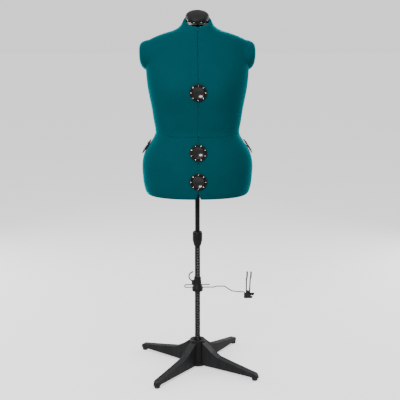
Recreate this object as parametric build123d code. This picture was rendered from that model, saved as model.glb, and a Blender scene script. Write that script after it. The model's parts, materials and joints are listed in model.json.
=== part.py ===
from build123d import *
import os
from math import acos, cos, exp, pi, radians, sin, tan

# Adjustable dress form on a telescopic pole with a four-legged base and a hem marker.
# Millimetres. +Z is up, -Y is the front of the form, +X is the form's own left.
# The origin is on the floor at the middle of the base.

# ---------------------------------------------------------------- driving dimensions
TRAVEL = 22.0                # how far each torso panel slides out from its rest place
GAP = 0.8                    # half of the closed gap between two neighbouring panels
COVER = 5.0                  # foam and knitted fabric over the shell
SHELL = 3.0                  # moulded plastic shell
WRAP = 2.0                   # how far the cover wraps round the shell's edges

WAIST_Z = 853.0              # split line between bodice and hips
WAIST_GAP = 1.0
HEM_Z = 643.0
NECK_Z = 1237.0              # middle of the tilted neck opening
NECK_TILT = 26.0             # degrees, forward

UPPER_R = 8.7                # upper tube
LOWER_R = 9.6                # lower tube
LOWER_WALL = 0.7
FIT = 0.05                   # radial clearance of a sliding or turning fit
LOWER_BOTTOM_Z, LOWER_TOP_Z = 24.0, 474.0
UPPER_BOTTOM_Z, UPPER_TOP_Z = 115.0, 1150.0

LEG_ANGLES = {"front_left": -36.0, "front_right": -126.0, "back_right": 144.0, "back_left": 54.0}
LEG_TIP_R = 257.0

PITCH_R = 4.0                # dial pinion
TEETH = 10
PRESSURE = radians(30)
ADDENDUM, DEDENDUM = 0.65, 0.95
BACKLASH = 0.1
PITCH = 2 * pi * PITCH_R / TEETH

DIAL_R = 28.5
NECK_DIAL_R = 39.75
RACK_FRONT, RACK_BACK = -12.0, -17.0     # rack band, measured inwards from the fabric
RACK_HALF_HEIGHT = 10.0
RACK_FREE_END = 28.0
HOUSING_BACK = -23.5

# Torso sections: height, half width, depth in front, depth behind, squareness of the oval
BODICE_ROWS = [
    (WAIST_Z, 144.4, 112, 86, 2.35),
    (890, 148.6, 112, 92, 2.35),
    (932, 155.0, 115, 99, 2.35),
    (973, 162.6, 119, 105, 2.35),
    (1003, 168.3, 121, 110, 2.35),
    (1034, 172.3, 119, 114, 2.35),
    (1064, 174.5, 112, 117, 2.35),
    (1094, 175.0, 101, 118, 2.3),
    (1124, 174.0, 89, 115, 2.3),
    (1148, 172.0, 80, 110, 2.2),
    (1164, 166.0, 74, 106, 2.1),
    (1174, 155.0, 71, 102, 2.0),
    (1184, 134.0, 67, 97, 2.0),
    (1194, 105.0, 63, 91, 2.0),
    (1204, 75.0, 60, 82, 2.0),
    (1214, 60.0, 57, 72, 2.0),
    (1224, 52.5, 54, 64, 2.0),
    (1237, 46.5, 51, 58, 2.0),
    (1256, 43.5, 48, 54, 2.0),
    (1284, 42.0, 46, 52, 2.0),
]
HIP_ROWS = [
    (HEM_Z, 169.0, 119, 116, 2.3),
    (646, 175.0, 124, 121, 2.3),
    (653, 180.0, 127, 125, 2.3),
    (663, 183.3, 129, 128, 2.3),
    (682, 187.6, 130.5, 131, 2.3),
    (710, 190.2, 131, 132, 2.3),
    (744, 191.6, 130, 127, 2.35),
    (770, 188.0, 127.5, 118, 2.35),
    (796, 179.0, 124, 107, 2.35),
    (820, 163.5, 119.5, 97, 2.35),
    (838, 151.8, 115.5, 90, 2.35),
    (WAIST_Z - WAIST_GAP, 144.6, 112, 86, 2.35),
]
# Arm stub sections: distance from the middle, height of the centre, half height, half depth
STUB_ROWS = [(140, 1112, 60, 62), (165, 1116, 53, 55), (180, 1119, 47, 50), (189, 1121, 40, 44),
             (194, 1123.5, 31, 36), (196.5, 1126, 20, 24)]
STUB_Y = 10.0

BUST_X, BUST_Z, BUST_SIZE = 80.0, 1001.0, 12.0
BUST_SPREAD_X, BUST_SPREAD_Z = 30.0, 42.0
SECTION_POINTS = 28

# Dials: place of the fabric under the dial's centre, and outward lean in degrees above the horizontal
BUST_DIAL_Z, WAIST_DIAL_Z, HIP_DIAL_Z, SIDE_DIAL_Z = 1002.0, 803.0, 707.0, 807.0


# ---------------------------------------------------------------- small helpers
def save(name, *solids):
    """Write one node, as one solid or a group of separate solids."""
    shapes = [s for shape in solids for s in shape.solids()]
    export_step(shapes[0] if len(shapes) == 1 else Compound(shapes), "parts/%s.step" % name)


def ring(outer, inner, bottom, top, x=0, y=0):
    tall = top - bottom
    return Pos(x, y, (bottom + top) / 2) * (Cylinder(outer, tall) - Cylinder(inner, tall + 2))


def rod(radius, start, end):
    """A round bar between two points."""
    axis = Vector(*end) - Vector(*start)
    return Solid.make_cylinder(radius, axis.length, Plane(Vector(*start), z_dir=axis))


def block(low, high):
    size = [h - l for l, h in zip(low, high)]
    middle = [(h + l) / 2 for l, h in zip(low, high)]
    return Pos(*middle) * Box(*size)


def turned(*outline):
    """A solid turned about Z from (radius, height) points."""
    face = make_face(Polyline(*[(r, 0, z) for r, z in outline], close=True))
    return revolve(face, Axis.Z)


def turned_curve(*lines):
    """A solid turned about Z from connected lines and arcs drawn as (radius, height)."""
    edges = [edge for line in lines for edge in line.edges()]
    return revolve(Plane.XZ * make_face(edges), Axis.Z)


def wire_along(path, radius):
    return sweep(Plane(path @ 0, z_dir=path % 0) * Circle(radius), path=path)


# ---------------------------------------------------------------- torso surfaces
def section(row, inset):
    """One closed oval of the torso, with the bust pushed forward."""
    height, half_width, front, back, squareness = row
    power = 2 / squareness
    points = []
    for i in range(SECTION_POINTS):
        angle = 2 * pi * i / SECTION_POINTS + radians(45)
        c, s = cos(angle), sin(angle)
        x = (half_width - inset) * abs(c) ** power * (1 if c > 0 else -1)
        y = ((back if s > 0 else front) - inset) * abs(s) ** power * (1 if s > 0 else -1)
        if s < 0:
            across = (abs(x) - BUST_X) / BUST_SPREAD_X
            up = (height - BUST_Z) / BUST_SPREAD_Z
            y -= BUST_SIZE * exp(-(across ** 2 + up ** 2) / 2)
        points.append((x, y, height))
    steps = [i / SECTION_POINTS for i in range(SECTION_POINTS + 1)]
    return make_face(Edge.make_spline(points, periodic=True, parameters=steps))


def torso(rows, inset):
    return loft([section(row, inset) for row in rows])


def stub(side, inset):
    """The short oval arm stub that closes the armhole."""
    rows = []
    for x, z, half_height, half_depth in STUB_ROWS:
        plane = Plane((side * (x - inset), STUB_Y, z), x_dir=(0, 1, 0), z_dir=(side, 0, 0))
        rows.append(plane * Ellipse(half_depth - inset, half_height - inset))
    return loft(rows)


def bodice_solid(inset):
    """Bodice and arm stubs, lowered by the inset so that the shoulders get their thickness too."""
    rows = []
    for height, half_width, front, back, squareness in BODICE_ROWS:
        drop = inset if height > 1150 else 0
        rows.append((height - drop, half_width, front, back, squareness))
    body = torso(rows, inset)
    return body + stub(1, inset) + stub(-1, inset)


def half_space(side, start=GAP, axis=0):
    """Everything on one side of a centre plane, beyond the closed gap."""
    reach = 600
    low, high = [-reach, -reach, 0], [reach, reach, 1500]
    if side > 0:
        low[axis] = start
    else:
        high[axis] = -start
    return block(low, high)


def neck_cut(offset):
    """Everything above the tilted neck opening, moved along its normal."""
    plane = Plane((0, 0, NECK_Z), x_dir=(1, 0, 0), z_dir=NECK_NORMAL)
    return plane * Pos(0, 0, 200 + offset) * Box(400, 400, 400)


def panel(outer, middle, inner, keep_solid, keep_shell, cuts):
    """Cover and shell of one panel. The cover wraps round the shell's free edges."""
    whole = (outer - inner) & keep_solid
    shell = (middle - inner) & keep_shell
    for cut in cuts:
        whole, shell = whole - cut, shell - cut
    shell = shell.solids().sort_by(SortBy.VOLUME)[-1]
    cover = (whole - shell).solids().sort_by(SortBy.VOLUME)[-1]
    return cover, shell


# ---------------------------------------------------------------- dial units
# Local axes of a unit: origin on the fabric under the dial, Z outwards along the dial's axis,
# X along the racks. A positive turn drives the rack on +Y towards -X and the one on -Y towards +X.
NECK_NORMAL = (0, -sin(radians(NECK_TILT)), cos(radians(NECK_TILT)))


def unit_plane(origin, along, lean, outward):
    """Plane of a unit whose axis leans up from the horizontal outward direction."""
    c, s = cos(radians(lean)), sin(radians(lean))
    return Plane(origin, x_dir=along, z_dir=(outward[0] * c, outward[1] * c, s))


UNITS = {
    "bust_front": unit_plane((0, -122.6, BUST_DIAL_Z), (1, 0, 0), 0, (0, -1)),
    "bust_back": unit_plane((0, 109.8, BUST_DIAL_Z), (-1, 0, 0), -7, (0, 1)),
    "waist_front": unit_plane((0, -122.8, WAIST_DIAL_Z), (1, 0, 0), 10, (0, -1)),
    "waist_back": unit_plane((0, 104, WAIST_DIAL_Z), (-1, 0, 0), 22, (0, 1)),
    "hip_front": unit_plane((0, -131, HIP_DIAL_Z), (1, 0, 0), 0, (0, -1)),
    "hip_back": unit_plane((0, 132, HIP_DIAL_Z), (-1, 0, 0), 0, (0, 1)),
    "waist_left": unit_plane((172.8, 0, SIDE_DIAL_Z), (0, 1, 0), 33, (1, 0)),
    "waist_right": unit_plane((-172.8, 0, SIDE_DIAL_Z), (0, -1, 0), 33, (-1, 0)),
    "neck": Plane((0, 0, NECK_Z), x_dir=(1, 0, 0), z_dir=NECK_NORMAL),
}


def involute(angle):
    return tan(angle) - angle


def pinion(low, high):
    """Ten-tooth pinion with involute flanks, one tooth on +Y."""
    base_r = PITCH_R * cos(PRESSURE)
    tip_r, root_r = PITCH_R + ADDENDUM, PITCH_R - DEDENDUM
    at_pitch = (PITCH / 2 - BACKLASH) / (2 * PITCH_R)
    at_base = at_pitch + involute(PRESSURE)
    flank = [(root_r, at_base), (base_r, at_base)]
    for r in (3.75, 4.2, tip_r):
        flank.append((r, at_base - involute(acos(base_r / r))))
    points = []
    for tooth in range(TEETH):
        middle = pi / 2 + 2 * pi * tooth / TEETH
        points += [(r * cos(middle - half), r * sin(middle - half)) for r, half in flank]
        points += [(r * cos(middle + half), r * sin(middle + half)) for r, half in reversed(flank)]
    return Pos(0, 0, low) * extrude(make_face(Polyline(*points, close=True)), high - low)


def rack(reach, foot):
    """Toothed bar of a unit, on the +Y side. It pulls the panel on -X and ends in a foot on its shell."""
    narrow = (PITCH / 2 - BACKLASH) / 2 - ADDENDUM * tan(PRESSURE)
    wide = (PITCH / 2 - BACKLASH) / 2 + DEDENDUM * tan(PRESSURE)
    tip, root = PITCH_R - ADDENDUM, PITCH_R + DEDENDUM
    points = [(-reach, RACK_HALF_HEIGHT), (-reach, root)]
    for tooth in range(-2, 10):
        middle = (tooth + 0.5) * PITCH
        points += [(middle - wide, root), (middle - narrow, tip), (middle + narrow, tip), (middle + wide, root)]
    points += [(RACK_FREE_END, root), (RACK_FREE_END, RACK_HALF_HEIGHT)]
    bar = Pos(0, 0, RACK_BACK) * extrude(make_face(Polyline(*points, close=True)), RACK_FRONT - RACK_BACK)
    if foot:
        bar += block((-reach, root, RACK_BACK), (-reach + 14, RACK_HALF_HEIGHT, 10))
    return bar


def shaft_and_pinion(knob_back):
    """Everything of a dial behind its knob: shaft, pinion, journal and snap head."""
    shaft = turned((0, RACK_FRONT + 0.3), (6, RACK_FRONT + 0.3), (6, knob_back), (0, knob_back))
    journal = turned((0, HOUSING_BACK - 2.2), (2.2, HOUSING_BACK - 2.2), (3.4, HOUSING_BACK - 0.3),
                     (2.5, HOUSING_BACK - 0.3), (2.5, RACK_BACK), (0, RACK_BACK))
    return shaft + pinion(RACK_BACK, RACK_FRONT + 0.3) + journal


def body_dial():
    """Round dial: a flat ring that carries the numbers, round a dished finger bowl."""
    ring_top, lip_top = 4.6, 6.6
    outline = Polyline((0, 1.0), (27.6, 1.0), (DIAL_R, 1.8), (DIAL_R, 3.6), (27.5, ring_top), (20.2, 5.0),
                       (19.6, 6.1), (18.6, lip_top), (17.6, 6.2))
    bowl = ThreePointArc((17.6, 6.2), (9.5, 3.6), (1.5, 2.8))
    return turned_curve(outline, bowl, Polyline((1.5, 2.8), (0, 2.8), (0, 1.0))) + shaft_and_pinion(1.5)


def neck_dial():
    """Domed cap that closes the neck and works like the other dials."""
    bottom = 3.0
    outline = Polyline((0, bottom), (38.6, bottom), (NECK_DIAL_R, bottom + 1.2), (NECK_DIAL_R, 11.5))
    shoulder = ThreePointArc((NECK_DIAL_R, 11.5), (37.2, 16.6), (31.5, 19.9))
    crown = ThreePointArc((31.5, 19.9), (17.0, 22.4), (1.5, 23.2))
    knob = turned_curve(outline, shoulder, crown, Polyline((1.5, 23.2), (0, 23.2), (0, bottom)))
    knob -= ring(34.5, 9, bottom - 1, 15)
    finger_slot = Pos(0, 20, 22.5) * Box(30, 4.5, 5)
    return knob - fillet(finger_slot.edges().filter_by(Axis.Z), 2.2) + shaft_and_pinion(bottom + 0.5)


def housing(opening=34.0):
    """Channel that carries a dial's journal and guides its two racks."""
    plate_top, rail_top, rail_low = RACK_BACK - 0.4, -13.4, RACK_HALF_HEIGHT + 0.3
    plate = block((-opening, -rail_low - 3.2, HOUSING_BACK), (opening, rail_low + 3.2, plate_top))
    for side in (-1, 1):
        low, high = sorted((side * rail_low, side * (rail_low + 3.2)))
        plate += block((-opening, low, HOUSING_BACK), (opening, high, rail_top))
    return plate - Cylinder(2.5 + FIT, 100)


def place(name, shape):
    return UNITS[name].location * shape


def rack_pair(name, void, minus_side, plus_side, reach=62.0, foot=True):
    """The two racks of a unit, trimmed to the inside of the shells that they are moulded to."""
    bar = rack(reach, foot)
    upper = place(name, bar) & void
    lower = place(name, Rot(0, 0, 180) * bar) & void
    return {minus_side: upper.solids().sort_by(SortBy.VOLUME)[-1],
            plus_side: lower.solids().sort_by(SortBy.VOLUME)[-1]}


# ---------------------------------------------------------------- stand
def base_hub():
    hub = turned((9.8, 8), (9.8, 20), (LOWER_R + FIT, 22), (LOWER_R + FIT, 88), (14.5, 91), (14.5, 96), (16, 99),
                 (26.5, 99), (29, 96.5), (30.5, 16), (37, 13), (37, 6), (34, 5), (4.3, 5), (4.3, 16), (9.8, 16))
    for angle in LEG_ANGLES.values():
        slot = block((19, -5.1, 17.9), (40, 5.1, 80.1)) + Pos(18, 0, 49) * Box(4.3, 14.2, 62.2)
        screw_hole = Pos(25.5, 0, 10) * Cylinder(1.9, 20) + Pos(25.5, 0, 5) * Cylinder(4.5, 4.9)
        hub -= Rot(0, 0, angle) * (slot + screw_hole)
    return hub


def leg():
    """Tall blade leg with a tongue for the hub's slot, built along +X."""
    side = [(29, 16.5), (29, 93), (38, 86), (70, 63), (96, 50), (150, 40.5), (248, 24.5), (254, 21.5),
            (LEG_TIP_R, 15), (LEG_TIP_R, 9), (240, 9), (234, 11.5), (90, 8.5), (37.8, 7), (37.8, 13.4)]
    plan = make_face(Polyline((30, -13.5), (96, -12.5), (246, -11), (LEG_TIP_R, -6), (LEG_TIP_R, 6), (246, 11),
                              (96, 12.5), (30, 13.5), close=True))
    blade = extrude(make_face(Plane.XZ * Polyline(*side, close=True)), 20, both=True)
    blade &= extrude(plan, 120)
    blade -= Cylinder(31.2, 300)
    tongue = block((16.2, -5, 18), (33, 5, 80)) + Pos(18, 0, 49) * Box(3.9, 13.8, 62)
    leg_body = blade + tongue
    leg_body -= Pos(244, 0, 6) * Cylinder(4.1, 10)
    return leg_body - Pos(25.5, 0, 20) * Cylinder(1.9, 20)


def foot_pad():
    return turned((0, 0), (8.5, 0), (10, 1.5), (10, 8.9), (4, 8.9), (4, 10.9), (0, 10.9))


def leg_screw():
    """Countersunk screw that pulls a leg's tongue down into the hub."""
    return turned((0, 5.4), (4.4, 5.4), (4.4, 7.4), (1.85, 7.4), (1.85, 28), (0, 29))


def lock_body():
    return turned((LOWER_R, 452), (12.4, 452), (14.6, 461), (17.2, 470), (17.2, 478.6), (14.0, 478.6), (14.0, 492),
                  (11.6, 492), (11.6, 475), (LOWER_R, LOWER_TOP_Z))


def lock_collet():
    collet = turned((UPPER_R + FIT, 475.2), (11.4, 475.2), (11.4, 492), (10.2, 499.5), (UPPER_R + FIT, 499.5))
    for i in range(3):
        collet -= Rot(0, 0, 60 * i) * Pos(0, 0, 495) * Box(40, 1.2, 24)
    return collet


def lock_nut():
    nut = turned((14.3, 479.2), (16.8, 479.2), (17.3, 480), (17.3, 499), (15.5, 503), (UPPER_R + 0.4, 503),
                 (UPPER_R + 0.4, 501.2), (10.6, 500.6), (12.0, 492.5), (14.3, 492.5))
    ribs = 20
    for i in range(ribs):
        nut -= Rot(0, 0, 360 * i / ribs) * Pos(18.0, 0, 490) * Cylinder(1.2, 18)
    return nut


# ---------------------------------------------------------------- hem marker
ROD_Y, ROD_R = 14.0, 1.75
ROD_HIGH_Z, ROD_LOW_Z = 301.0, 291.0
PEG_X = 172.0
LEVER_PIVOT = (-16.0, 315.0)


def hem_clamp():
    """Flared clamp that turns on the liner, with two cross holes for the wire rod and an ear."""
    clamp = turned((10.9, 283), (18.6, 283), (19.6, 285), (19.8, 294), (16.6, 303), (14.4, 309), (12.8, 334),
                   (10.9, 334))
    ear = block((-21, -6, 308), (-11.5, 6, 322))
    clamp += fillet(ear.edges().filter_by(Axis.Y), 1.5) - Cylinder(11.2, 1000)
    clamp -= block((-30, -2.5, 306), (-12.4, 2.5, 340))
    for z in (ROD_HIGH_Z, ROD_LOW_Z):
        clamp -= rod(ROD_R + FIT, (-40, ROD_Y, z), (40, ROD_Y, z))
    x, z = LEVER_PIVOT
    return clamp - rod(1.2 + FIT, (x, -10, z), (x, 10, z))


def release_lever():
    """C-shaped wire on its own pivot pin, which swings outwards to free the clamp."""
    centre_x, centre_z, bend_r, wire = -14.0, 337.0, 16.5, 2.2
    x, z = LEVER_PIVOT
    start, end = radians(98), radians(232)
    def on_ring(angle):
        return centre_x + bend_r * cos(angle), 0, centre_z + bend_r * sin(angle)
    arc = ThreePointArc(on_ring(start), on_ring((start + end) / 2), on_ring(end))
    loop = wire_along(arc, wire) + rod(wire, tuple(arc @ 1), (x, 0, z))
    for joint in (arc @ 0, arc @ 1):
        loop += Pos(*joint) * Sphere(wire)
    return loop + rod(3.2, (x, -2.4, z), (x, 2.4, z)) + rod(1.2, (x, -6, z), (x, 6, z))


def hem_rod():
    """Hairpin of round wire: short upper leg, long lower leg that steps down to the gripper's peg."""
    points = [(45, ROD_HIGH_Z), (-46, ROD_HIGH_Z), (-46, ROD_LOW_Z), (58, ROD_LOW_Z), (70, 294.3), (98, 294.3),
              (124, 276.0), (148, 272.8), (PEG_X, 271.5), (PEG_X, 253.5)]
    radii = [4.95, 4.95, 14, 14, 18, 18, 20, 5.5]
    return wire_along(FilletPolyline(*[(x, ROD_Y, z) for x, z in points], radius=radii), ROD_R)


JAW_PIN = (188.0, 261.5)


def gripper_base():
    """Foot block of the hem gripper with its fixed prong."""
    profile = Polyline((169, 249), (198, 249), (200.5, 254.5), (194, 254.5), (194, 267.2), (184.5, 267.2),
                       (184.5, 277), (177, 277), (175.5, 267.2), (169, 267.2), close=True)
    foot = Pos(0, ROD_Y + 5, 0) * extrude(make_face(Plane.XZ * profile), 10)
    foot -= block((182.2, ROD_Y - 2.4, 255), (210, ROD_Y + 2.4, 290))
    prong = Polyline((175, 274), (179, 274), (179.8, 322), (181.8, 326), (182.4, 346), (181.4, 349),
                     (177.3, 349), (176.5, 326), (175.5, 322), close=True)
    foot += Pos(0, ROD_Y + 2.5, 0) * extrude(make_face(Plane.XZ * prong), 5)
    foot -= rod(ROD_R + FIT, (PEG_X, ROD_Y, 253), (PEG_X, ROD_Y, 300))
    foot -= rod(2.6, (PEG_X, ROD_Y, 264.5), (PEG_X, ROD_Y, 300))
    x, z = JAW_PIN
    return foot - rod(1.5 + FIT, (x, 0, z), (x, 40, z))


def gripper_jaw():
    """Sprung prong with the slanted thumb lever and its pivot pin."""
    tongue = Polyline((183.2, 256), (193, 256), (196, 259.8), (204, 259.8), (207.4, 267.4), (193, 267.4), (190.5, 277),
                      (185.5, 277), (183.2, 267.4), close=True)
    jaw = Pos(0, ROD_Y + 2.1, 0) * extrude(make_face(Plane.XZ * tongue), 4.2)
    jaw += block((197, ROD_Y - 5, 259.8), (203.5, ROD_Y + 5, 267.4))
    prong = Polyline((187, 274), (191.3, 274), (193.1, 322), (195.7, 326), (196.4, 346), (195.4, 349),
                     (191.2, 349), (190.3, 326), (188.8, 322), close=True)
    jaw += Pos(0, ROD_Y + 2.1, 0) * extrude(make_face(Plane.XZ * prong), 4.2)
    x, z = JAW_PIN
    return jaw + rod(1.5, (x, ROD_Y - 5, z), (x, ROD_Y + 5, z))


# ---------------------------------------------------------------- torso frame
CORE_BOTTOM_Z, CORE_TOP_Z = 690.0, 846.0
SLEEVE_BOTTOM_Z, SLEEVE_TOP_Z = 885.0, 1192.0
SLIDE_ROD_R = 5.0
FRONT_ROD_Z, BACK_ROD_Z, SIDE_ROD_Z = 768.0, 740.0, 812.0
ROD_X, SIDE_ROD_Y = 22.0, 16.0
FREE_BORE = SLIDE_ROD_R + FIT


def hip_core():
    """Hub that turns on the pole and holds the sliding rods of the four hip brackets."""
    core = block((-32, -25, 722), (32, 25, 832)) + ring(15, 5, CORE_BOTTOM_Z, CORE_TOP_Z)
    core -= Pos(0, 0, 768) * Cylinder(UPPER_R + FIT, 400)
    for side in (-1, 1):
        for z in (FRONT_ROD_Z, BACK_ROD_Z):
            core -= rod(FREE_BORE, (side * ROD_X, -60, z), (side * ROD_X, 60, z))
        core -= rod(FREE_BORE, (-60, side * SIDE_ROD_Y, SIDE_ROD_Z), (60, side * SIDE_ROD_Y, SIDE_ROD_Z))
        core -= rod(SLIDE_ROD_R, (side * ROD_X, 0, 790), (side * ROD_X, 0, 840))
    return core


def hip_bracket(dials, side, rod_z, bar_y):
    """Front or back bracket: two dial housings on a strut, and the two rods that slide in the core."""
    waist, hip = (UNITS[name].origin + UNITS[name].z_dir * (HOUSING_BACK + 0.5) for name in dials)
    high_y, low_y = side * waist.Y, side * hip.Y
    strut = [(low_y, 697), (low_y, 717), (high_y, waist.Z - 10), (high_y, waist.Z + 11),
             (high_y - 8, waist.Z + 11), (high_y - 8, waist.Z - 14), (low_y - 9, 712), (low_y - 9, 697)]
    bracket = extrude(make_face(Polyline(*[(0, side * y, z) for y, z in strut], close=True)), 7, both=True)
    low, high = sorted((side * bar_y, side * (bar_y + 8)))
    bracket += block((-30, low, rod_z - 7), (30, high, rod_z + 7))
    for name in dials:
        bracket -= place(name, block((-20, -14, HOUSING_BACK), (20, 14, 40)))
        bracket -= place(name, Pos(0, 0, HOUSING_BACK - 2) * Cylinder(4.2, 4.6))
        bracket += place(name, housing())
    for x in (-ROD_X, ROD_X):
        bracket += rod(SLIDE_ROD_R, (x, side * (bar_y + 4), rod_z), (x, -side * 22, rod_z))
    return bracket


def side_adjuster(name, side):
    """Side dial housing on one rod that runs right through the core."""
    unit = place(name, housing(30.0))
    end = UNITS[name].origin + UNITS[name].z_dir * (HOUSING_BACK + 1)
    y = side * SIDE_ROD_Y
    arm = rod(SLIDE_ROD_R, (side * (abs(end.X) - 4), y, SIDE_ROD_Z), (-side * 31, y, SIDE_ROD_Z))
    boss = block((min(side * 128, side * 150), y - 7, 790), (max(side * 128, side * 150), y + 7, 824))
    boss -= place(name, block((-60, -60, HOUSING_BACK), (60, 60, 60)))
    unit += boss + (arm - place(name, block((-60, -60, HOUSING_BACK), (60, 60, 60))))
    return unit - place(name, Pos(0, 0, HOUSING_BACK - 4) * Cylinder(3.9, 8))


def bodice_core():
    """Sleeve that slides on the pole, keyed to the hips by two upright rods."""
    core = ring(14, UPPER_R + FIT, SLEEVE_BOTTOM_Z, SLEEVE_TOP_Z)
    core += block((-30, -12, SLEEVE_BOTTOM_Z), (30, 12, 915)) - Cylinder(12, 3000)
    for side in (-1, 1):
        core -= rod(FREE_BORE, (side * ROD_X, 0, 800), (side * ROD_X, 0, 1000))
    return core - rod(3.1, (0, 8, 940), (0, 30, 940))


def bust_housing(name, side):
    """Bust dial housing with its rib back to the sleeve."""
    back = abs(UNITS[name].origin.Y) + HOUSING_BACK
    low, high = sorted((side * 12.0, side * (back + 4)))
    rib = block((-4, low, BUST_DIAL_Z - 13), (4, high, BUST_DIAL_Z + 13))
    low, high = sorted((side * 11.0, side * 19.0))
    saddle = block((-12, low, BUST_DIAL_Z - 20), (12, high, BUST_DIAL_Z + 20))
    rib = (rib + saddle) - Cylinder(14, 3000) - place(name, block((-60, -60, HOUSING_BACK), (60, 60, 60)))
    rib -= place(name, Pos(0, 0, HOUSING_BACK - 2) * Cylinder(4.2, 4.6))
    return rib + place(name, housing())


def neck_housing():
    """Neck dial housing on a post over the end of the sleeve."""
    post = Pos(0, 6, 1205) * Box(22, 26, 40) - Pos(0, 0, 1000) * Cylinder(30, 2 * (SLEEVE_TOP_Z - 1000))
    post -= place("neck", Pos(0, 0, HOUSING_BACK + 100) * Box(200, 200, 200))
    post -= place("neck", Pos(0, 0, HOUSING_BACK - 2) * Cylinder(4.2, 4.6))
    return post + place("neck", housing(26.0))


def waist_lock_screw():
    """Thumb screw that clamps the sleeve on the pole."""
    screw = rod(3.0, (0, UPPER_R + 0.2, 940), (0, 22, 940)) + rod(9, (0, 16.5, 940), (0, 25, 940))
    for i in range(12):
        angle = 2 * pi * i / 12
        x, z = 9.4 * cos(angle), 940 + 9.4 * sin(angle)
        screw -= rod(1.0, (x, 10, z), (x, 30, z))
    return screw


# ---------------------------------------------------------------- assembly
def export_stand():
    save("base_hub", base_hub())
    one_leg, pad, screw = leg(), foot_pad(), leg_screw()
    pads, screws = [], []
    for name, angle in LEG_ANGLES.items():
        save("leg_" + name, Rot(0, 0, angle) * one_leg)
        pads.append(Rot(0, 0, angle) * Pos(244, 0, 0) * pad)
        screws.append(Rot(0, 0, angle) * Pos(25.5, 0, 0) * screw)
    save("foot_pads", *pads)
    save("leg_screws", *screws)
    save("hub_bolt", turned((0, 2.4), (7.5, 2.4), (7.5, 4.9), (4.1, 4.9), (4.1, 36), (0, 37)))
    save("tube_plug", ring(LOWER_R - LOWER_WALL, 4.15, LOWER_BOTTOM_Z, 44))
    save("lower_tube", ring(LOWER_R, LOWER_R - LOWER_WALL, LOWER_BOTTOM_Z, LOWER_TOP_Z))
    save("lock_body", lock_body())
    save("lock_collet", lock_collet())
    save("lock_nut", lock_nut())


def export_hem_marker():
    save("hem_liner", ring(10.8, LOWER_R + FIT, 284, 333))
    save("hem_clamp", hem_clamp())
    save("release_lever", release_lever())
    save("hem_rod", hem_rod())
    save("gripper_base", gripper_base())
    save("gripper_jaw", gripper_jaw())


def export_torso_frame():
    save("upper_tube", ring(UPPER_R, UPPER_R - 0.8, UPPER_BOTTOM_Z, UPPER_TOP_Z))
    end_bush = ring(LOWER_R - LOWER_WALL - FIT, 4, UPPER_BOTTOM_Z - 8, UPPER_BOTTOM_Z)
    save("tube_end_bush", end_bush + ring(UPPER_R - 0.8, 4, UPPER_BOTTOM_Z, UPPER_BOTTOM_Z + 14))
    save("torso_stop_ring", ring(13, UPPER_R, 678, CORE_BOTTOM_Z - 0.3))
    save("hip_core", hip_core())
    save("waist_guide_rods", *[rod(SLIDE_ROD_R, (s * ROD_X, 0, 790), (s * ROD_X, 0, 972)) for s in (-1, 1)])
    save("hip_front_bracket", hip_bracket(("waist_front", "hip_front"), -1, FRONT_ROD_Z, 92.0))
    save("hip_back_bracket", hip_bracket(("waist_back", "hip_back"), 1, BACK_ROD_Z, 89.0))
    save("side_adjuster_left", side_adjuster("waist_left", 1))
    save("side_adjuster_right", side_adjuster("waist_right", -1))
    save("bodice_core", bodice_core())
    save("bust_front_housing", bust_housing("bust_front", -1))
    save("bust_back_housing", bust_housing("bust_back", 1))
    save("neck_housing", neck_housing())
    save("waist_lock_screw", waist_lock_screw())


def export_dials():
    dial, cap = body_dial(), neck_dial()
    for name in UNITS:
        save("dial_" + name, place(name, cap if name == "neck" else dial))


def export_bodice():
    outer, middle, inner = (bodice_solid(t) for t in (0, COVER, COVER + SHELL))
    cuts = [place(name, Cylinder(7.5, 60)) for name in ("bust_front", "bust_back")]
    pairs = [rack_pair("bust_front", inner, -1, 1), rack_pair("bust_back", inner, 1, -1),
             rack_pair("neck", inner, -1, 1, 75.0, False)]
    above = block((-300, -300, WAIST_Z + WRAP), (300, 300, 1400))
    for name, side in (("left", 1), ("right", -1)):
        keep_solid = half_space(side) - neck_cut(0)
        keep_shell = (half_space(side, GAP + WRAP) & above) - neck_cut(-WRAP)
        cover, shell = panel(outer, middle, inner, keep_solid, keep_shell, cuts)
        save("bodice_%s_cover" % name, cover)
        save("bodice_%s_shell" % name, shell)
        save("bodice_%s_racks" % name, *[pair[side] for pair in pairs])


def export_hips():
    outer, middle, inner = (torso(HIP_ROWS, t) for t in (0, COVER, COVER + SHELL))
    names = ("waist_front", "waist_back", "hip_front", "hip_back", "waist_left", "waist_right")
    cuts = [place(name, Cylinder(7.5, 60)) for name in names]
    notch = Polyline((-9.5, HEM_Z - 1), (9.5, HEM_Z - 1), (4.2, 655), (0.4, 676), (-0.4, 676), (-4.2, 655), close=True)
    cuts.append(extrude(make_face(Plane.XZ * notch), 200, both=True))
    between = block((-300, -300, HEM_Z + WRAP), (300, 300, WAIST_Z - WAIST_GAP - WRAP))
    racks = {}
    for name, along, minus, plus in (
            ("waist_front", 1, (-1, -1), (1, -1)), ("hip_front", 1, (-1, -1), (1, -1)),
            ("waist_back", 1, (1, 1), (-1, 1)), ("hip_back", 1, (1, 1), (-1, 1)),
            ("waist_left", 0, (1, -1), (1, 1)), ("waist_right", 0, (-1, 1), (-1, -1))):
        for key, bar in rack_pair(name, inner, minus, plus, 62.0 if along else 58.0).items():
            racks.setdefault(key, []).append(bar)
    for depth, front_back in ((-1, "front"), (1, "back")):
        for side, left_right in ((1, "left"), (-1, "right")):
            keep_solid = half_space(side) & half_space(depth, GAP, 1)
            keep_shell = half_space(side, GAP + WRAP) & half_space(depth, GAP + WRAP, 1) & between
            cover, shell = panel(outer, middle, inner, keep_solid, keep_shell, cuts)
            name = "hip_%s_%s" % (front_back, left_right)
            save(name + "_cover", cover)
            save(name + "_shell", shell)
            save(name + "_racks", *racks[(side, depth)])


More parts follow.
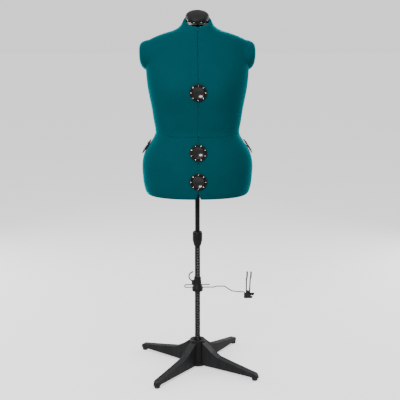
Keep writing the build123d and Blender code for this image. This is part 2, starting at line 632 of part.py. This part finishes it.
os.makedirs("parts", exist_ok=True)
export_stand()
export_hem_marker()
export_torso_frame()
export_dials()
export_bodice()
export_hips()
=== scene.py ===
import json
from math import cos, pi, radians, sin

import bmesh
import bpy
import numpy as np
from mathutils import Matrix, Vector
from mathutils.bvhtree import BVHTree

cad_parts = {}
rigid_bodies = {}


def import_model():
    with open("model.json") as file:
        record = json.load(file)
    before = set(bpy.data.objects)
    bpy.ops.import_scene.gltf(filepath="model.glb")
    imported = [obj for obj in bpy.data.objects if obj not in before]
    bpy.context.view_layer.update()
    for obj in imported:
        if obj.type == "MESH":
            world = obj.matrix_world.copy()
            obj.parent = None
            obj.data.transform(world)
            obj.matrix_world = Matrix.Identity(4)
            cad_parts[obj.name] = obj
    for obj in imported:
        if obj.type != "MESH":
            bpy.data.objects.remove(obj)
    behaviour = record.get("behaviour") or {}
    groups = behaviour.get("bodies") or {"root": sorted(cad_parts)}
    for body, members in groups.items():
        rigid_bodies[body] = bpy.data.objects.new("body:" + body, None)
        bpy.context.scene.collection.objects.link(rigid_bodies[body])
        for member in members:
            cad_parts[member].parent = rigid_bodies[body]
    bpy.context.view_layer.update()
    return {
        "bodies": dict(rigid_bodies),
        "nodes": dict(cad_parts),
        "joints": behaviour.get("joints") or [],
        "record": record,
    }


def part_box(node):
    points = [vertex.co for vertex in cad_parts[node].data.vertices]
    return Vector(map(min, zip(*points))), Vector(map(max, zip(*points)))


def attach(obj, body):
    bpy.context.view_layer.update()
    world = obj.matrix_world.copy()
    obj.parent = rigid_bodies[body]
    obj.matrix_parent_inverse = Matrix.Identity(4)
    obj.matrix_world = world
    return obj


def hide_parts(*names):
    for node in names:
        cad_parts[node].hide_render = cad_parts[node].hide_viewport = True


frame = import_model()

# Camera on its tripod, in metres and degrees, swung round the pole
CAMERA_SIDE, CAMERA_DISTANCE, CAMERA_HEIGHT = 0.009, 2.812, 1.231
CAMERA_SWING, CAMERA_PITCH = -1.5, 12.32
CAMERA_LENS, CAMERA_SENSOR = 73.67, 36.0

# Fabric covers: six panels of foam-backed knit
PANELS = ("bodice_left", "bodice_right",
          "hip_front_left", "hip_front_right", "hip_back_left", "hip_back_right")
FABRIC_VOXEL, FABRIC_SMOOTHING = 0.0020, 2
SEAM_CLEARANCE, SEAM_FADE = 0.0001, 0.008
SEAM_FILL, SEAM_FILL_REACH, OPEN_SEAM_Z = 0.0013, 0.0032, 1.055
WAIST_SEAM_Z = (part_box("bodice_left_cover")[0].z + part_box("hip_front_left_cover")[1].z) / 2

# Arm stubs: where the knit bridges the hollow round their root, and how far from it the bridge fades out
STUB_ROOT, STUB_REACH, STUB_FADE = (0.158, 0.010, 1.110), 0.115, 0.035
STUB_SPAN, STUB_VOXEL, STUB_LIFT, STUB_EVENING = 0.065, 0.004, 0.016, 16
INSIDE_REACH, INSIDE_STEP, ARMPIT_Z = 0.0035, 0.001, 1.085

# Numbers on the dials: their ring slopes down from its inner edge, in the dial's own axes
MARKS, MARK_R, MARK_SIZE, MARK_THICK = 8, 0.0240, 0.0050, 0.00016
RING_INNER_R, RING_INNER_Z, RING_SLOPE = 0.0202, 0.0050, 0.4 / 7.3
CAP_MARKS, CAP_R, CAP_MARK_Z = 10, 0.03975, 0.0068

# Printed scale on the lower tube
TUBE_R, PRINT_THICK = 0.0096, 0.00006
SCALE_FIRST_CM, SCALE_LAST_CM, SCALE_SIZE = 10, 44, 0.0062

# Studio
FLOOR_REACH, SKY_STRENGTH = 30.0, 1.2
AIM = (0, 0, 0.9)


# ---------------------------------------------------------------- materials
class Shader:
    """Node graph of one material, built up line by line."""

    def __init__(self, name, colour, roughness, **sockets):
        self.material = bpy.data.materials.new(name)
        self.material.use_nodes = True
        self.material.diffuse_color = (*colour, 1)
        self.nodes, self.links = self.material.node_tree.nodes, self.material.node_tree.links
        self.surface = self.nodes["Principled BSDF"]
        self.place = self.nodes.new("ShaderNodeTexCoord").outputs["Object"]
        self.colour = (*colour, 1)
        self.surface.inputs["Base Color"].default_value = self.colour
        self.surface.inputs["Roughness"].default_value = roughness
        for socket, value in sockets.items():
            self.surface.inputs[socket.replace("_", " ")].default_value = value

    def stretched(self, scale):
        mapping = self.nodes.new("ShaderNodeMapping")
        mapping.inputs["Scale"].default_value = scale
        self.links.new(self.place, mapping.inputs["Vector"])
        return mapping.outputs["Vector"]

    def noise(self, scale, detail=3.0, rough=0.55, at=None):
        node = self.nodes.new("ShaderNodeTexNoise")
        node.inputs["Scale"].default_value = scale
        node.inputs["Detail"].default_value = detail
        node.inputs["Roughness"].default_value = rough
        self.links.new(at or self.place, node.inputs["Vector"])
        return node.outputs["Fac"]

    def cells(self, scale):
        node = self.nodes.new("ShaderNodeTexVoronoi")
        node.inputs["Scale"].default_value = scale
        self.links.new(self.place, node.inputs["Vector"])
        return node.outputs["Distance"]

    def waves(self, scale, direction, distortion=0.0):
        node = self.nodes.new("ShaderNodeTexWave")
        node.bands_direction = direction
        node.inputs["Scale"].default_value = scale
        node.inputs["Distortion"].default_value = distortion
        node.inputs["Detail"].default_value = 2.0
        node.inputs["Detail Scale"].default_value = 2.0
        self.links.new(self.place, node.inputs["Vector"])
        return node.outputs["Fac"]

    def spread(self, value, low, high, start=0.3, stop=0.7):
        node = self.nodes.new("ShaderNodeMapRange")
        for name, number in (("From Min", start), ("From Max", stop), ("To Min", low), ("To Max", high)):
            node.inputs[name].default_value = number
        self.links.new(value, node.inputs["Value"])
        return node.outputs["Result"]

    def distance_to(self, point):
        node = self.nodes.new("ShaderNodeVectorMath")
        node.operation = "DISTANCE"
        self.links.new(self.place, node.inputs[0])
        node.inputs[1].default_value = point
        return node.outputs["Value"]

    def maths(self, operation, a, b):
        node = self.nodes.new("ShaderNodeMath")
        node.operation = operation
        for socket, value in zip(node.inputs, (a, b)):
            if isinstance(value, float):
                socket.default_value = value
            else:
                self.links.new(value, socket)
        return node.outputs["Value"]

    def tint(self, factor, other, base=None):
        """Base colour mixed towards another colour."""
        node = self.nodes.new("ShaderNodeMix")
        node.data_type = "RGBA"
        a, b = node.inputs[6], node.inputs[7]
        if base is None:
            a.default_value = self.colour
        else:
            self.links.new(base, a)
        b.default_value = (*other, 1)
        self.links.new(factor, node.inputs["Factor"])
        self.links.new(node.outputs[2], self.surface.inputs["Base Color"])
        return node.outputs[2]

    def rough(self, value):
        self.links.new(value, self.surface.inputs["Roughness"])

    def bump(self, *layers):
        """Surface relief from (height, distance) layers, the coarsest first."""
        normal = None
        for height, distance in layers:
            node = self.nodes.new("ShaderNodeBump")
            node.inputs["Strength"].default_value = 0.6
            node.inputs["Distance"].default_value = distance
            self.links.new(height, node.inputs["Height"])
            if normal:
                self.links.new(normal, node.inputs["Normal"])
            normal = node.outputs["Normal"]
        self.links.new(normal, self.surface.inputs["Normal"])

    def edges(self):
        """1 on worn outer edges, 0 on flat ground."""
        node = self.nodes.new("ShaderNodeNewGeometry")
        return self.spread(node.outputs["Pointiness"], 0.0, 1.0, 0.53, 0.62)


def teal_fabric():
    """Stretch knit with a short pile: fine tufts, faint ribs, and nap that shades in soft patches."""
    m = Shader("teal_fabric", (0.0003, 0.025, 0.0308), 0.92,
               Specular_IOR_Level=0.0, Sheen_Weight=0.42, Sheen_Roughness=0.28,
               Sheen_Tint=(0.0, 0.75, 0.85, 1))
    nap = m.noise(9.0, 4.0)
    tufts = m.cells(1150.0)
    fibre = m.noise(2600.0, 2.0)
    ribs = m.waves(210.0, "Z", 1.2)
    patches = m.tint(m.spread(nap, 0.0, 0.5), (0.0004, 0.033, 0.0398))
    m.tint(m.spread(tufts, 0.0, 0.5, 0.15, 0.75), (0.0002, 0.015, 0.0183), patches)
    m.rough(m.spread(fibre, 0.84, 0.98))
    m.bump((nap, 0.0006), (ribs, 0.00010), (tufts, 0.00030), (fibre, 0.00012))
    return m.material


def moulded_plastic(name, colour, worn, grain=1400.0, roughness=0.42):
    """Plastic with a fine eroded grain, cloudy gloss and rubbed edges."""
    m = Shader(name, colour, roughness, Specular_IOR_Level=0.06)
    grains, clouds = m.noise(grain, 3.0), m.noise(14.0, 4.0)
    scuffs = m.noise(60.0, 6.0, 0.7, m.stretched((1.0, 1.0, 0.15)))
    wear = m.maths("MULTIPLY", m.edges(), m.spread(scuffs, 0.15, 0.9))
    dusty = m.tint(m.spread(clouds, 0.0, 0.28), worn)
    m.tint(wear, tuple(min(1.0, 1.6 * c) for c in worn), dusty)
    m.rough(m.spread(clouds, roughness - 0.06, roughness + 0.1))
    m.bump((clouds, 0.0002), (grains, 0.00008))
    return m.material


def gloss_plastic(name, middle):
    """Black dial plastic: a bowl polished by fingers in the middle, a duller ring round it."""
    m = Shader(name, (0.0032, 0.0024, 0.0023), 0.14, Coat_Weight=0.02, Coat_Roughness=0.08)
    swirls, film = m.noise(90.0, 8.0, 0.75), m.noise(22.0, 3.0)
    ring = m.spread(m.distance_to(middle), 0.0, 1.0, 0.0190, 0.0205)
    m.tint(m.maths("MULTIPLY", m.edges(), 0.4), (0.02, 0.02, 0.021),
           m.tint(m.spread(film, 0.0, 0.3), (0.005, 0.004, 0.004)))
    m.rough(m.maths("ADD", m.spread(swirls, 0.08, 0.18), m.maths("MULTIPLY", ring, 0.35)))
    m.links.new(m.spread(ring, 0.20, 0.03, 0.0, 1.0), m.surface.inputs["Specular IOR Level"])
    m.bump((film, 0.00010), (swirls, 0.00002))
    return m.material


def lacquered_tube():
    """Satin black lacquer on steel: drawn streaks and orange peel."""
    m = Shader("black_tube", (0.0030, 0.0030, 0.0032), 0.44, Specular_IOR_Level=0.05, Coat_Weight=0.01,
               Coat_Roughness=0.3)
    peel, streaks = m.noise(520.0, 2.0), m.noise(40.0, 6.0, 0.7, m.stretched((1.0, 1.0, 0.03)))
    m.tint(m.spread(streaks, 0.0, 0.35), (0.006, 0.006, 0.0064))
    m.rough(m.spread(streaks, 0.36, 0.54))
    m.bump((peel, 0.00005))
    return m.material


def bare_metal(name, colour, roughness, drawn, glare=1.0):
    """Plated or drawn metal with streaks along its length and slight tarnish."""
    m = Shader(name, colour, roughness, Metallic=1.0, Specular_Tint=(glare, glare, glare, 1))
    streaks, tarnish = m.noise(300.0, 4.0, 0.6, m.stretched(drawn)), m.noise(30.0, 5.0)
    m.tint(m.spread(tarnish, 0.0, 0.45), tuple(0.55 * c for c in colour))
    m.rough(m.spread(streaks, roughness - 0.1, roughness + 0.14))
    m.bump((streaks, 0.00002))
    return m.material


def printed(name, colour, worn_to):
    """Pad-printed ink, slightly worn through."""
    m = Shader(name, colour, 0.5, Specular_IOR_Level=0.3)
    worn = m.noise(900.0, 4.0, 0.7)
    m.tint(m.spread(worn, 0.0, 0.6, 0.45, 0.75), worn_to)
    m.bump((worn, 0.00003))
    return m.material


def pale_floor():
    m = Shader("studio_floor", (0.36, 0.36, 0.36), 0.8, Specular_IOR_Level=0.05,
               Emission_Color=(1, 1, 1, 1), Emission_Strength=0.80)
    m.tint(m.spread(m.noise(3.0), 0.0, 0.3), (0.34, 0.34, 0.34))
    return m.material


MATERIALS = {
    "teal_fabric": teal_fabric(),
    "shell_plastic": moulded_plastic("shell_plastic", (0.014, 0.014, 0.015), (0.030, 0.030, 0.031),
                                     900.0, 0.5),
    "white_nylon": moulded_plastic("white_nylon", (0.56, 0.56, 0.53), (0.66, 0.65, 0.60), 1100.0, 0.45),
    "foot_rubber": moulded_plastic("foot_rubber", (0.008, 0.008, 0.008), (0.02, 0.02, 0.02), 2000.0, 0.75),
    "black_tube": lacquered_tube(),
    "zinc_steel": bare_metal("zinc_steel", (0.60, 0.60, 0.61), 0.3, (1.0, 1.0, 0.1)),
    "dark_wire": bare_metal("dark_wire", (0.018, 0.018, 0.019), 0.45, (0.1, 1.0, 1.0), 0.15),
    "black_plastic": moulded_plastic("black_plastic", (0.0035, 0.0037, 0.0038), (0.0065, 0.007, 0.0072),
                                     1500.0, 0.48),
    "white_print": printed("white_print", (0.80, 0.80, 0.78), (0.42, 0.42, 0.41)),
    "grey_print": printed("grey_print", (0.12, 0.12, 0.12), (0.05, 0.05, 0.05)),
}


def finish_with(obj, name):
    obj.data.materials.clear()
    obj.data.materials.append(MATERIALS[name])
    for polygon in obj.data.polygons:
        polygon.material_index = 0


SLOTS = {part["node"]: part["material_slot"] for part in frame["record"]["subparts"]}
for joint in frame["joints"]:
    if joint["child"].startswith("dial_") and joint["child"] != "dial_neck":
        MATERIALS[joint["child"]] = gloss_plastic(joint["child"], joint["pos_m"])
for node, obj in frame["nodes"].items():
    own = node if node in MATERIALS else SLOTS[node]
    finish_with(obj, "black_plastic" if node == "dial_neck" else own)


# ---------------------------------------------------------------- pieces
def new_piece(name, mesh, material, body):
    obj = bpy.data.objects.new(name, mesh)
    bpy.context.scene.collection.objects.link(obj)
    finish_with(obj, material)
    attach(obj, body)
    return obj


def apply_modifiers(obj):
    """Freeze the modifiers of an object into its mesh."""
    bpy.context.view_layer.update()
    mesh = bpy.data.meshes.new_from_object(obj.evaluated_get(bpy.context.evaluated_depsgraph_get()))
    old, obj.data = obj.data, mesh
    obj.modifiers.clear()
    bpy.data.meshes.remove(old)


def coordinates(mesh, of="vertices", name="co"):
    values = np.empty(len(getattr(mesh, of)) * 3)
    getattr(mesh, of).foreach_get(name, values)
    return values.reshape(-1, 3)


def soften(obj, factor, iterations):
    modifier = obj.modifiers.new("soften", "SMOOTH")
    modifier.factor, modifier.iterations = factor, iterations
    apply_modifiers(obj)


def push(obj, distance):
    modifier = obj.modifiers.new("push", "DISPLACE")
    modifier.strength, modifier.mid_level = distance, 0.0


def voxels(obj, size):
    modifier = obj.modifiers.new("voxels", "REMESH")
    modifier.mode, modifier.voxel_size, modifier.use_smooth_shade = "VOXEL", size, True


def search_tree(mesh):
    return BVHTree.FromPolygons([v.co for v in mesh.vertices], [p.vertices for p in mesh.polygons])


def stretched_over(obj):
    """Search tree of the surface a taut skin makes over an object, without its hollows."""
    taut = bpy.data.objects.new("taut", obj.data.copy())
    bpy.context.scene.collection.objects.link(taut)
    push(taut, STUB_SPAN)
    voxels(taut, STUB_VOXEL)
    push(taut, -STUB_SPAN)
    soften(taut, 0.5, 6)
    mesh = taut.data
    tree = search_tree(mesh)
    bpy.data.objects.remove(taut)
    bpy.data.meshes.remove(mesh)
    return tree


def bridge_stub(obj, shell):
    """The knit stretches straight over the hollow round an arm stub's root, and lies on it elsewhere."""
    taut = stretched_over(obj)
    lining = search_tree(shell)
    place, normals = coordinates(obj.data), coordinates(obj.data, "vertex_normals", "vector")
    from_root = np.linalg.norm(np.abs(place * (1, 0, 0)) + place * (0, 1, 1) - STUB_ROOT, axis=1)
    lift = np.zeros(len(place))
    for i in np.flatnonzero(from_root < STUB_REACH):
        point, normal = Vector(place[i]), Vector(normals[i])
        if lining.find_nearest(point, INSIDE_REACH)[0] is None:
            reach = taut.ray_cast(point - normal * INSIDE_STEP, normal, STUB_LIFT + INSIDE_STEP)[3]
            lift[i] = max(0.0, (reach or 0.0) - INSIDE_STEP)
    ends = np.empty(len(obj.data.edges) * 2, dtype=int)
    obj.data.edges.foreach_get("vertices", ends)
    a, b = ends.reshape(-1, 2).T
    shared = np.bincount(ends, minlength=len(place))
    for _ in range(STUB_EVENING):
        total = np.bincount(a, lift[b], len(place)) + np.bincount(b, lift[a], len(place))
        lift = total / shared
    lift *= ((STUB_REACH - from_root) / STUB_FADE).clip(0.0, 1.0)
    lift *= ((place[:, 2] - ARMPIT_Z) / STUB_FADE).clip(0.0, 1.0)
    obj.data.vertices.foreach_set("co", (place + normals * lift[:, None]).ravel())


def close_seam(mesh, axis, middle, outwards):
    """Foam edges press together: the edge facing a seam plane is drawn up to it, fading out behind.

    Below OPEN_SEAM_Z the pressed foam also swells and fills most of the groove between the two edges."""
    place, normals = coordinates(mesh), coordinates(mesh, "vertex_normals", "vector")
    ahead = outwards * (place[:, axis] - middle)
    gap = ahead.min() - SEAM_CLEARANCE
    place[:, axis] -= outwards * gap * (1.0 - (ahead - gap) / SEAM_FADE).clip(0.0, 1.0)
    swell = SEAM_FILL * (1.0 - (ahead - gap) / SEAM_FILL_REACH).clip(0.0, 1.0)
    swell *= place[:, 2] < OPEN_SEAM_Z
    normals[:, axis] = 0.0
    place += normals * swell[:, None]
    mesh.vertices.foreach_set("co", place.ravel())


def fabric_cover(panel):
    """The foam-backed knit over one panel, with soft rolled edges that meet at the seams."""
    node = frame["nodes"][panel + "_cover"]
    cover = bpy.data.objects.new(panel + "_fabric", node.data.copy())
    bpy.context.scene.collection.objects.link(cover)
    voxels(cover, FABRIC_VOXEL)
    soften(cover, 0.5, FABRIC_SMOOTHING)
    if panel.startswith("bodice"):
        bridge_stub(cover, frame["nodes"][panel + "_shell"].data)
        soften(cover, 0.5, 2)
        close_seam(cover.data, 2, WAIST_SEAM_Z, 1)
    else:
        close_seam(cover.data, 2, WAIST_SEAM_Z, -1)
        close_seam(cover.data, 1, 0.0, -1 if "front" in panel else 1)
    close_seam(cover.data, 0, 0.0, 1 if "left" in panel else -1)
    cover.data.update()
    finish_with(cover, "teal_fabric")
    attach(cover, panel)
    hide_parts(panel + "_cover")


for panel in PANELS:
    fabric_cover(panel)


def text_mesh(words, size, thick):
    """A word as a thin solid, centred on the origin, reading along X in the XY plane."""
    curve = bpy.data.curves.new("glyph", "FONT")
    curve.body, curve.size, curve.extrude = words, size, thick / 2
    curve.align_x, curve.align_y, curve.resolution_u = "CENTER", "CENTER", 4
    holder = bpy.data.objects.new("glyph", curve)
    bpy.context.scene.collection.objects.link(holder)
    bpy.context.view_layer.update()
    mesh = bpy.data.meshes.new_from_object(holder.evaluated_get(bpy.context.evaluated_depsgraph_get()))
    bpy.data.objects.remove(holder)
    bpy.data.curves.remove(curve)
    return mesh


def joined(name, parts):
    """One mesh from (mesh, function that places a point) pairs."""
    whole = bmesh.new()
    for mesh, place in parts:
        start = len(whole.verts)
        whole.from_mesh(mesh)
        whole.verts.ensure_lookup_table()
        for vertex in whole.verts[start:]:
            vertex.co = place(vertex.co)
    bmesh.ops.recalc_face_normals(whole, faces=whole.faces)
    result = bpy.data.meshes.new(name)
    whole.to_mesh(result)
    whole.free()
    return result


def dial_place(dial):
    """Matrix from a dial's local axes, Z outwards and Y upwards, to the row frame."""
    joint = next(j for j in frame["joints"] if j["child"] == dial)
    axis = Vector(joint["axis"]).normalized()
    sideways = Vector((0, 0, 1)).cross(axis)
    across = sideways.normalized() if dial != "dial_neck" else Vector((1, 0, 0))
    turn = Matrix((across, axis.cross(across), axis)).transposed()
    return Matrix.Translation(joint["pos_m"]) @ turn.to_4x4()


def on_ring(angle, to_row):
    """Places flat lettering on the dial's sloping number ring, with its top outwards."""
    def place(co):
        radius = MARK_R + co.y
        flat = Vector((radius * cos(angle) + co.x * sin(angle), radius * sin(angle) - co.x * cos(angle)))
        height = RING_INNER_Z - RING_SLOPE * (flat.length - RING_INNER_R) + co.z
        return to_row @ Vector((flat.x, flat.y, height))
    return place


def on_drum(angle, radius, height, to_row):
    """Wraps flat lettering round a cylinder, upright."""
    def place(co):
        there = angle + co.x / radius
        reach = radius + co.z
        return to_row @ Vector((reach * cos(there), reach * sin(there), height + co.y))
    return place


def dial_numbers(dial):
    """Numbers round one dial. The waist dials stand half a step round from the others."""
    to_row = dial_place(dial)
    first = pi / 2 + (pi / MARKS if "waist" in dial else 0)
    parts = []
    for i in range(MARKS):
        angle = first - 2 * pi * i / MARKS
        parts.append((text_mesh(str(i + 1), MARK_SIZE, MARK_THICK), on_ring(angle, to_row)))
    name = dial + "_numbers"
    return new_piece(name, joined(name, parts), "white_print", dial)


def cap_numbers():
    """Numbers round the skirt of the neck cap."""
    to_row = dial_place("dial_neck")
    parts = []
    for i in range(CAP_MARKS):
        angle = -pi / 2 + 2 * pi * (i + 0.5) / CAP_MARKS
        mark = text_mesh(str(i), MARK_SIZE, MARK_THICK)
        parts.append((mark, on_drum(angle, CAP_R, CAP_MARK_Z, to_row)))
    name = "dial_neck_numbers"
    return new_piece(name, joined(name, parts), "white_print", "dial_neck")


def bar_mesh(width, height, thick):
    """A flat bar, cut across its width so that it can be wrapped round a tube."""
    mesh = bmesh.new()
    bmesh.ops.create_cube(mesh, size=1.0)
    bmesh.ops.scale(mesh, vec=(width, height, thick), verts=mesh.verts)
    across = [e for e in mesh.edges if abs(e.verts[0].co.x - e.verts[1].co.x) > 0]
    bmesh.ops.subdivide_edges(mesh, edges=across, cuts=3)
    result = bpy.data.meshes.new("bar")
    mesh.to_mesh(result)
    mesh.free()
    return result


def tube_scale():
    """Height scale printed up the front of the lower tube, numbered in centimetres above the floor."""
    row = Matrix.Identity(4)
    front = -pi / 2
    long_bar, short_bar = bar_mesh(0.0030, 0.0005, PRINT_THICK), bar_mesh(0.0018, 0.0004, PRINT_THICK)
    parts = []
    for mark in range(SCALE_FIRST_CM, SCALE_LAST_CM + 1):
        height = mark / 100
        parts.append((long_bar, on_drum(front - radians(32), TUBE_R, height, row)))
        parts.append((short_bar, on_drum(front - radians(37), TUBE_R, height + 0.005, row)))
        number = text_mesh(str(mark), SCALE_SIZE, PRINT_THICK)
        parts.append((number, on_drum(front + radians(4), TUBE_R, height, row)))
    return new_piece("tube_scale", joined("tube_scale", parts), "grey_print", "stand")


for dial in [name for name in frame["bodies"] if name.startswith("dial_")]:
    if dial != "dial_neck":
        dial_numbers(dial)
cap_numbers()
tube_scale()


# ---------------------------------------------------------------- studio
def floor():
    mesh = bmesh.new()
    bmesh.ops.create_grid(mesh, x_segments=1, y_segments=1, size=FLOOR_REACH)
    result = bpy.data.meshes.new("floor")
    mesh.to_mesh(result)
    mesh.free()
    obj = bpy.data.objects.new("floor", result)
    bpy.context.scene.collection.objects.link(obj)
    result.materials.append(pale_floor())


def softbox(name, place, target, size, watts):
    light = bpy.data.lights.new(name, "AREA")
    light.shape, light.size, light.size_y, light.energy = "RECTANGLE", size[0], size[1], watts
    obj = bpy.data.objects.new(name, light)
    bpy.context.scene.collection.objects.link(obj)
    obj.location = place
    obj.rotation_euler = (Vector(target) - Vector(place)).to_track_quat("-Z", "Y").to_euler()


def camera():
    lens = bpy.data.cameras.new("camera")
    lens.lens, lens.sensor_width = CAMERA_LENS, CAMERA_SENSOR
    obj = bpy.data.objects.new("camera", lens)
    bpy.context.scene.collection.objects.link(obj)
    swing = radians(CAMERA_SWING)
    turn = Matrix.Rotation(swing, 3, "Z")
    obj.location = turn @ Vector((CAMERA_SIDE, -CAMERA_DISTANCE, CAMERA_HEIGHT))
    obj.rotation_euler = (pi / 2 - radians(CAMERA_PITCH), 0, swing)
    bpy.context.scene.camera = obj


floor()
camera()
softbox("overhead", (0, -0.9, 3.6), (0, -0.3, 0), (3.0, 2.4), 100)
softbox("key", (-0.95, -2.6, 2.15), AIM, (1.40, 0.80), 200)
softbox("rim_left", (-1.7, 1.2, 1.2), AIM, (0.7, 2.2), 85)
softbox("rim_right", (1.7, 1.2, 1.2), AIM, (0.7, 2.2), 85)
world = bpy.data.worlds.new("studio")
world.use_nodes = True
world.node_tree.nodes["Background"].inputs["Color"].default_value = (1.0, 1.0, 1.0, 1)
world.node_tree.nodes["Background"].inputs["Strength"].default_value = SKY_STRENGTH
bpy.context.scene.world = world
